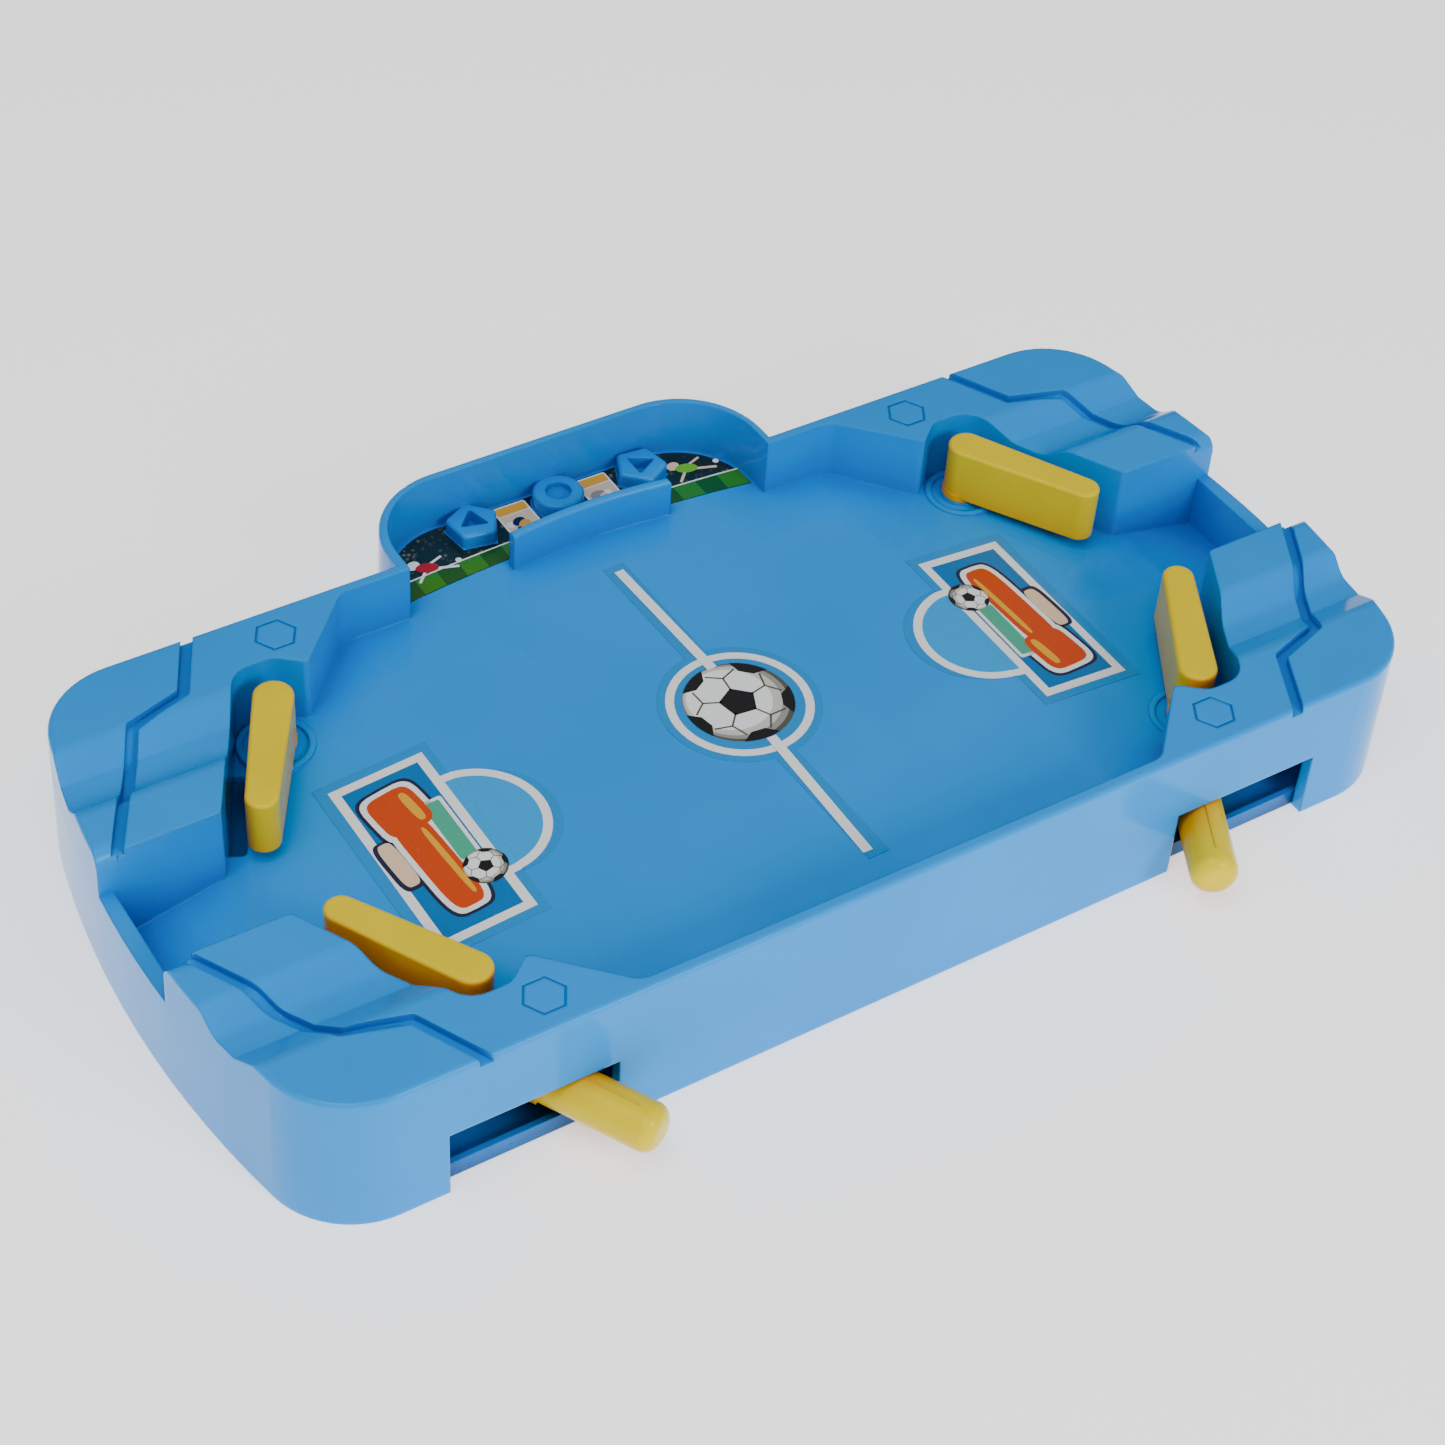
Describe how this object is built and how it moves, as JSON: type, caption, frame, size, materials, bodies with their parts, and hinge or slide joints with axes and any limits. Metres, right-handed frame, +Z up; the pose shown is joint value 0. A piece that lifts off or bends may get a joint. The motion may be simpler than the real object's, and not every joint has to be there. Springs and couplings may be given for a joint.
{
  "type": "foosball table",
  "caption": "Tabletop football game: a moulded table with spring-loaded flippers on vertical pivots, side finger levers, goals at both ends and a score bay.",
  "frame": {"origin": "centre of the four-sided body on the plane the table stands on", "axes": "+X from goal to goal, +Y towards the score bay, +Z up"},
  "size_m": [0.3368, 0.206, 0.0411],
  "materials": {
    "blue_plastic": "gloss",
    "blue_cover": "satin",
    "yellow_plastic": "gloss",
    "washer_steel": "satin",
    "screw_steel": "satin",
    "spring_steel": "polished",
    "printed_label": "gloss laminated print"
  },
  "bodies": {
    "table": {"top_shell": "blue_plastic", "base_plate": "blue_cover", "base_screws": "screw_steel", "sticker_centre": "printed_label", "sticker_goal_l": "printed_label", "sticker_goal_r": "printed_label", "sticker_arc_l": "printed_label", "sticker_arc_r": "printed_label", "sticker_bay": "printed_label"},
    "paddle_nl": {"flipper_nl": "yellow_plastic", "lever_nl": "yellow_plastic", "washer_nl": "washer_steel", "screw_nl": "screw_steel", "spring_nl": "spring_steel"},
    "paddle_fl": {"flipper_fl": "yellow_plastic", "lever_fl": "yellow_plastic", "washer_fl": "washer_steel", "screw_fl": "screw_steel", "spring_fl": "spring_steel"},
    "paddle_nr": {"flipper_nr": "yellow_plastic", "lever_nr": "yellow_plastic", "washer_nr": "washer_steel", "screw_nr": "screw_steel", "spring_nr": "spring_steel"},
    "paddle_fr": {"flipper_fr": "yellow_plastic", "lever_fr": "yellow_plastic", "washer_fr": "washer_steel", "screw_fr": "screw_steel", "spring_fr": "spring_steel"}
  },
  "joints": [
    {"name": "paddle_turn_nl", "type": "hinge", "parent": "table", "child": "paddle_nl", "pos_m": [-0.1057, -0.0512, 0.022], "axis": [0, 0, -1], "range_deg": [0, 52], "stiffness_Nm_per_rad": 0.02, "springref_deg": -20.05},
    {"name": "paddle_turn_fl", "type": "hinge", "parent": "table", "child": "paddle_fl", "pos_m": [-0.1057, 0.0512, 0.022], "axis": [0, 0, 1], "range_deg": [0, 52], "stiffness_Nm_per_rad": 0.02, "springref_deg": -20.05},
    {"name": "paddle_turn_nr", "type": "hinge", "parent": "table", "child": "paddle_nr", "pos_m": [0.1057, -0.0512, 0.022], "axis": [0, 0, 1], "range_deg": [0, 52], "stiffness_Nm_per_rad": 0.02, "springref_deg": -20.05},
    {"name": "paddle_turn_fr", "type": "hinge", "parent": "table", "child": "paddle_fr", "pos_m": [0.1057, 0.0512, 0.022], "axis": [0, 0, -1], "range_deg": [0, 52], "stiffness_Nm_per_rad": 0.02, "springref_deg": -20.05}
  ]
}
